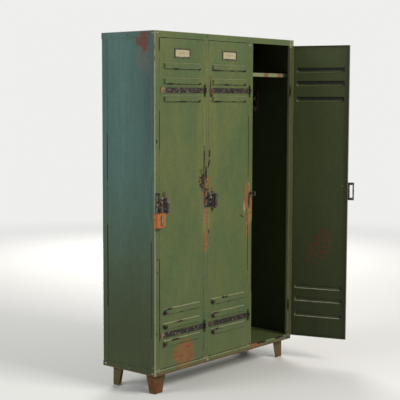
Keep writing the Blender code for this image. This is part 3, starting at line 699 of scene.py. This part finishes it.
def addTurned(bm, profile, place, facing, sides=20):
    # sweeps (radius, height) points round the axis that leaves place towards facing
    axis = Vector(facing).normalized()
    first = axis.orthogonal().normalized()
    second = axis.cross(first)
    rings = []
    for radius, height in profile:
        base = place + axis * height
        if radius == 0:
            rings.append([bm.verts.new(base)])
            continue
        ring = []
        for k in range(sides):
            angle = 2 * math.pi * k / sides
            around = first * math.cos(angle) + second * math.sin(angle)
            ring.append(bm.verts.new(base + around * radius))
        rings.append(ring)
    for low, high in zip(rings, rings[1:]):
        for k in range(sides):
            after = (k + 1) % sides
            if len(high) == 1:
                bm.faces.new((low[k], low[after], high[0]))
            else:
                bm.faces.new((low[k], low[after], high[after], high[k]))


def dome(radius, height):
    # a rounded head with a short rim, from the rim's foot to the crown
    steps = 5
    rise = [(radius, 0.0), (radius, height * 0.25)]
    for k in range(1, steps):
        angle = math.pi / 2 * k / steps
        rise.append((radius * math.cos(angle), height * (0.25 + 0.75 * math.sin(angle))))
    return rise + [(0, height)]


def addHead(bm, place, facing, head):
    # a domed head of slightly uneven size, on a washer if it has one
    size = head["radius"] * random.uniform(0.93, 1.07)
    if head.get("washer"):
        rim = head["washer"] * size
        addTurned(bm, [(rim, 0), (rim, 0.0006), (rim * 0.94, 0.0009), (0, 0.0009)], place, facing)
    lift = place + Vector(facing).normalized() * 0.0004
    addTurned(bm, dome(size, head["height"]), lift, facing)


def addPlate(bm, center, size, round):
    # a thin plate that faces the front, with rounded corners and softened front edges
    width, height, thick = size
    steps = 6
    outline = []
    for cx, cy, start in ((1, 1, 0), (-1, 1, 90), (-1, -1, 180), (1, -1, 270)):
        for k in range(steps + 1):
            angle = math.radians(start + 90 * k / steps)
            outline.append((
                cx * (width / 2 - round) + round * math.cos(angle),
                cy * (height / 2 - round) + round * math.sin(angle),
            ))
    soft = min(thick * 0.4, 0.0008)
    rings = []
    for inset, lift in ((0, 0), (0, thick - soft), (soft * 0.4, thick - soft * 0.3), (soft, thick)):
        rings.append([
            bm.verts.new(center + Vector((
                x * (1 - 2 * inset / width), -lift, z * (1 - 2 * inset / height),
            )))
            for x, z in outline
        ])
    for low, high in zip(rings, rings[1:]):
        for k in range(len(outline)):
            after = (k + 1) % len(outline)
            bm.faces.new((low[k], low[after], high[after], high[k]))
    bm.faces.new(rings[-1])
    bm.faces.new(rings[0])


def makePiece(name, bm, material, body, turn=None):
    if turn is not None:
        bm.transform(turn)
    bmesh.ops.recalc_face_normals(bm, faces=bm.faces)
    mesh = bpy.data.meshes.new(name)
    bm.to_mesh(mesh)
    bm.free()
    for polygon in mesh.polygons:
        polygon.use_smooth = len(polygon.vertices) < 5
    mesh.materials.append(material)
    piece = bpy.data.objects.new(name, mesh)
    bpy.context.scene.collection.objects.link(piece)
    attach(piece, body)
    return piece


skirts = {"low": 0.129, "high": capHigh.z - 0.031, "proud": 0.0018}  # of the base and the cap
frontBolts = {
    "radius": 0.0058,
    "height": 0.0036,
    "washer": 1.35,
    "places": [
        (0.390, 1.789), (0.390, 1.752), (0.744, 1.789), (0.744, 1.756), (1.118, 1.786),
        (1.118, 1.750), (0.022, 1.786), (0.401, 0.138), (0.401, 0.115), (0.755, 0.139),
        (0.755, 0.115), (0.028, 0.139), (0.030, 0.115), (1.113, 0.143), (1.113, 0.116),
    ],
}
sideBolts = {
    "radius": 0.0050,
    "height": 0.0030,
    "washer": 1.3,
    "places": [
        (0.017, 0.142), (0.017, 0.115), (0.347, 0.142), (0.347, 0.115),
        (0.017, 1.785), (0.347, 1.785), (0.183, 1.785), (0.183, 0.115),
    ],
}


def onSkirt(z):
    return z > skirts["high"] or z < skirts["low"]


def addCapBolts():
    bm = bmesh.new()
    for x, z in frontBolts["places"]:
        out = skirts["proud"] if onSkirt(z) else 0.0
        addHead(bm, onFront(x, z, out), (0, -1, 0), frontBolts)
    for side in (-1, 1):
        for y, z in sideBolts["places"]:
            deep = 0.0 if onSkirt(z) else skirts["proud"]
            edgeX = capHigh.x if side > 0 else capLow.x
            addHead(bm, Vector((edgeX - side * deep, capLow.y + y, z)), (side, 0, 0), sideBolts)
    makePiece("capAndBaseBolts", bm, ironBolt, "carcass")


postRivets = {
    "radius": 0.0032,
    "height": 0.0014,
    "across": (0.014, 0.386, 0.754, 1.126),
    "up": (0.22, 0.46, 0.72, 1.06, 1.30, 1.60, 1.72),
    "deep": (0.014, 0.346),  # on the sides
    "upSides": (0.24, 0.52, 0.80, 1.08, 1.36, 1.64),
    "wander": 0.001,
    "clear": 0.12,  # none this near a lock
}


def addPostRivets():
    # flattened rivets up the front posts and the corner posts' side legs
    bm = bmesh.new()
    wander = postRivets["wander"]
    for x in postRivets["across"]:
        for z in postRivets["up"]:
            if x in postRivets["across"][1:3] and abs(z - lockLevel) < postRivets["clear"]:
                continue
            place = onFront(x + random.uniform(-wander, wander), z)
            addHead(bm, place, (0, -1, 0), postRivets)
    for side in (-1, 1):
        edgeX = (capHigh.x if side > 0 else capLow.x) - side * skirts["proud"]
        for y in postRivets["deep"]:
            for z in postRivets["upSides"]:
                addHead(bm, Vector((edgeX, capLow.y + y, z)), (side, 0, 0), postRivets)
    makePiece("postRivets", bm, carcassPaint, "carcass")


strapRivets = {"radius": 0.0050, "height": 0.0026, "along": (0.022, 0.105, 0.190, 0.275)}
hingePins = {"radius": 0.0046, "height": 0.0030}


def addStrapRivets(bay):
    bm = bmesh.new()
    pins = bmesh.new()
    start = freeEdge(bay)
    for end in ("upper", "lower"):
        low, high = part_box(f"strap_hinge_{end}_{bay}")
        z = (low.z + high.z) / 2
        for along in strapRivets["along"]:
            addHead(bm, onFront(start + along, z, strapOut), (0, -1, 0), strapRivets)
        pinLow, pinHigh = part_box(f"hinge_leaf_{end}_{bay}")
        for level, way in ((pinLow.z, -1), (pinHigh.z, 1)):
            place = Vector((hinges[bay].x, hinges[bay].y, level))
            addHead(pins, place, (0, 0, way), hingePins)
    makePiece(f"strapRivets_{bay}", bm, ironBolt, f"door_{bay}_leaf", shutToStanding(bay))
    makePiece(f"hingePinHeads_{bay}", pins, ironBolt, "carcass")


# places are across from the door's free edge, then up
haspBolts = {"radius": 0.0078, "height": 0.0070, "washer": 1.25, "out": 0.0033,
             "places": [(0.0125, 0.984)]}
haspRivets = {"radius": 0.0042, "height": 0.0022, "out": 0.0033,
              "places": [(0.0125, 0.948), (0.0125, 0.966)]}
gripScrews = {"radius": 0.0046, "height": 0.0024, "out": 0.0028,
              "places": [(0.034, 0.904), (0.034, 0.996)]}
tails = [(0.016, 1.030), (0.0125, 0.984), (0.0125, 0.948), (0.034, 0.904), (0.034, 0.996)]


def addLockFixings(bay):
    # the pull's bolts and the hasp's rivets, with their tails inside the door
    bm = bmesh.new()
    start = freeEdge(bay)
    for head in (haspBolts, haspRivets, gripScrews):
        for x, z in head["places"]:
            addHead(bm, onFront(start + x, z, head["out"]), (0, -1, 0), head)
    for x, z in tails:
        addHead(bm, onFront(start + x, z, -doorSheet), (0, 1, 0), haspRivets)
    makePiece(f"lockFixings_{bay}", bm, ironBolt, f"door_{bay}_leaf", shutToStanding(bay))


holderPins = {"radius": 0.0018, "height": 0.0009, "apart": 0.112, "up": (1.678, 1.714),
              "out": 0.0032}


def addHolderPins(bay):
    bm = bmesh.new()
    center = freeEdge(bay) + doorWidth / 2
    for side in (-1, 1):
        for z in holderPins["up"]:
            place = onFront(center + side * holderPins["apart"] / 2, z, holderPins["out"])
            addHead(bm, place, (0, -1, 0), holderPins)
    makePiece(f"holderPins_{bay}", bm, ironBolt, f"door_{bay}_leaf", shutToStanding(bay))


# plates are width, height and thickness
keyCover = {
    "border": (0.019, 0.054, 0.0007),
    "borderRound": 0.006,
    "cover": (0.0135, 0.047, 0.0022),
    "coverRound": 0.005,
    "coverOut": 0.0005,
    "across": 0.55,  # share of the body's width
    "pivotUp": 0.0165,
    "pivotOut": 0.0025,
}
keyPivot = {"radius": 0.0034, "height": 0.0018}
padlockRivets = {"radius": 0.0028, "height": 0.0012, "inX": 0.007, "inZ": 0.008}


def addPadlockParts():
    # keyhole cover on its dark border, its pivot, and the rivets at the body's corners
    center = (lockLow + lockHigh) / 2
    width = lockHigh.x - lockLow.x
    spot = Vector((lockLow.x + width * keyCover["across"], lockLow.y - 0.0001, center.z))
    up, out = Vector((0, 0, 1)), Vector((0, -1, 0))
    border = bmesh.new()
    addPlate(border, spot, keyCover["border"], keyCover["borderRound"])
    dark = blackIron("keyBorder", 3.0, (0.02, 0.016, 0.013), (0.08, 0.06, 0.05))
    makePiece("keyCoverBorder", border, dark, "padlock")
    cover = bmesh.new()
    addPlate(cover, spot + out * keyCover["coverOut"], keyCover["cover"], keyCover["coverRound"])
    pivot = spot + out * keyCover["pivotOut"] + up * keyCover["pivotUp"]
    addHead(cover, pivot, out, keyPivot)
    gray = steelFinish("keyCoverSteel", lockLow, (0.19, 0.18, 0.14), 0.25)
    makePiece("keyCover", cover, gray, "padlock")
    pins = bmesh.new()
    for x in (lockLow.x + padlockRivets["inX"], lockHigh.x - padlockRivets["inX"]):
        for z in (lockLow.z + padlockRivets["inZ"], lockHigh.z - padlockRivets["inZ"]):
            addHead(pins, Vector((x, lockLow.y, z)), out, padlockRivets)
            addHead(pins, Vector((x, lockHigh.y, z)), -out, padlockRivets)
    makePiece("padlockRivets", pins, lacquer, "padlock")


footBolts = {
    "radius": 0.0050,
    "height": 0.0030,
    "washer": 1.25,
    "up": 0.086,
    "across": 0.028,  # in from the foot's corner, on the front leg
    "deep": 0.020,  # and on the side leg
    "out": 0.0001,
}


def addFootBolts():
    # heads through each foot's two legs, just under the base
    bm = bmesh.new()
    for end, back in (("front", -1), ("rear", 1)):
        for side, right in (("left", -1), ("right", 1)):
            low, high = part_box(f"foot_{end}_{side}")
            faceX = low.x if right < 0 else high.x
            faceY = low.y if back < 0 else high.y
            inX = faceX - right * footBolts["across"]
            inY = faceY - back * footBolts["deep"]
            outX = faceX + right * footBolts["out"]
            outY = faceY + back * footBolts["out"]
            addHead(bm, Vector((inX, outY, footBolts["up"])), (0, back, 0), footBolts)
            addHead(bm, Vector((outX, inY, footBolts["up"])), (right, 0, 0), footBolts)
    makePiece("footBolts", bm, footPaint, "carcass")


shelfStuds = {
    "radius": 0.0050,
    "height": 0.0060,
    "washer": 1.4,
    "along": (0.30, 0.72),  # shares of the shelf's width
    "in": 0.012,
    "sheet": 0.0016,
}


def addShelfStuds():
    bm = bmesh.new()
    for bay in bays:
        low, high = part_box(f"hat_shelf_{bay}")
        for along in shelfStuds["along"]:
            x = low.x + (high.x - low.x) * along
            place = Vector((x, low.y + shelfStuds["in"], high.z - shelfStuds["sheet"]))
            addHead(bm, place, (0, 0, -1), shelfStuds)
    makePiece("shelfStuds", bm, ironBolt, "carcass")


addCapBolts()
addPostRivets()
for bay in bays:
    addStrapRivets(bay)
    addLockFixings(bay)
    addHolderPins(bay)
addPadlockParts()
addFootBolts()
addShelfStuds()
print("small pieces ready")


# Camera, lights and floor
view = {
    "place": (-4.30023, -3.66859, 1.47224),  # from the cabinet's middle, at floor level
    "yaw": 0.70856,
    "pitch": 0.09566,
    "roll": 0.00288,
    "lens": 94.874,
}


def addCamera():
    yaw, pitch, roll = view["yaw"], view["pitch"], view["roll"]
    ahead = Vector((
        math.cos(yaw) * math.cos(pitch), math.sin(yaw) * math.cos(pitch), -math.sin(pitch),
    ))
    right = Vector((math.sin(yaw), -math.cos(yaw), 0))
    up = right.cross(ahead)
    tilted = math.cos(roll) * right + math.sin(roll) * up
    above = -math.sin(roll) * right + math.cos(roll) * up
    data = bpy.data.cameras.new("camera")
    data.lens = view["lens"]
    data.sensor_width = 36
    camera = bpy.data.objects.new("camera", data)
    bpy.context.scene.collection.objects.link(camera)
    turn = Matrix((tilted, above, -ahead)).transposed().to_4x4()
    place = Vector(view["place"]) + Vector((middle.x, middle.y, 0))
    camera.matrix_world = Matrix.Translation(place) @ turn
    bpy.context.scene.camera = camera


lamps = {
    "key": {"place": (0.4, -5.0, 3.9), "size": 2.2, "power": 265, "color": (1.0, 0.98, 0.93)},
    "side": {"place": (-5.2, 1.6, 2.6), "size": 2.4, "power": 140, "color": (0.92, 0.98, 1.0)},
    "back": {"place": (4.2, 3.8, 3.0), "size": 2.6, "power": 230, "color": (1.0, 0.99, 0.96)},
}


def addLamps():
    target = Vector((middle.x, middle.y, 1.0))
    for name, lamp in lamps.items():
        data = bpy.data.lights.new(name, "AREA")
        data.size = lamp["size"]
        data.energy = lamp["power"]
        data.color = lamp["color"]
        made = bpy.data.objects.new(name, data)
        bpy.context.scene.collection.objects.link(made)
        made.location = Vector(lamp["place"]) + Vector((middle.x, middle.y, 0))
        made.rotation_euler = (target - made.location).to_track_quat("-Z", "Y").to_euler()


surround = {
    "ambient": 0.21,
    "backdrop": (0.86, 0.86, 0.85),
    "floor": (0.80, 0.79, 0.77),
    "solid": 3.5,  # how far out the floor starts to fade into the backdrop
    "gone": 7.5,
}


def addWorld():
    # dim light on the object, under a pale backdrop for what is looked at or mirrored
    world = bpy.data.worlds.new("studio")
    bpy.context.scene.world = world
    world.use_nodes = True
    world.node_tree.nodes.remove(world.node_tree.nodes["Background"])
    w = Nodes(world.node_tree)
    rays = [f"Is {ray} Ray" for ray in ("Camera", "Glossy", "Transmission")]
    camera, glossy, through = w.outputs("ShaderNodeLightPath", rays)
    light = {"Color": (1, 1, 1), "Strength": surround["ambient"]}
    shaders = {
        0: camera.atLeast(glossy).atLeast(through),
        1: w.node("ShaderNodeBackground", {}, light),
        2: w.node("ShaderNodeBackground", {}, {"Color": surround["backdrop"]}),
    }
    mixed = w.node("ShaderNodeMixShader", {}, shaders)
    w.feed(w.tree.nodes["World Output"].inputs["Surface"], mixed)


def addFloor():
    bm = bmesh.new()
    bmesh.ops.create_circle(bm, cap_ends=True, segments=64, radius=surround["gone"] + 1.5)
    mesh = bpy.data.meshes.new("floor")
    bm.to_mesh(mesh)
    bm.free()
    floor = bpy.data.objects.new("floor", mesh)
    bpy.context.scene.collection.objects.link(floor)
    f = Finish("floorPaint")
    f.feed(f.shader.inputs["Base Color"], surround["floor"])
    f.shader.inputs["Roughness"].default_value = 0.9
    out = ((f.x - middle.x + frontLeft.x) ** 2 + (f.y - middle.y + frontLeft.y) ** 2) ** 0.5
    f.feed(f.shader.inputs["Alpha"], out.ramp(surround["gone"], surround["solid"]))
    mesh.materials.append(f.material)


addCamera()
addLamps()
addWorld()
addFloor()
bpy.context.scene.view_settings.view_transform = "Standard"
print("camera, lamps and floor ready")
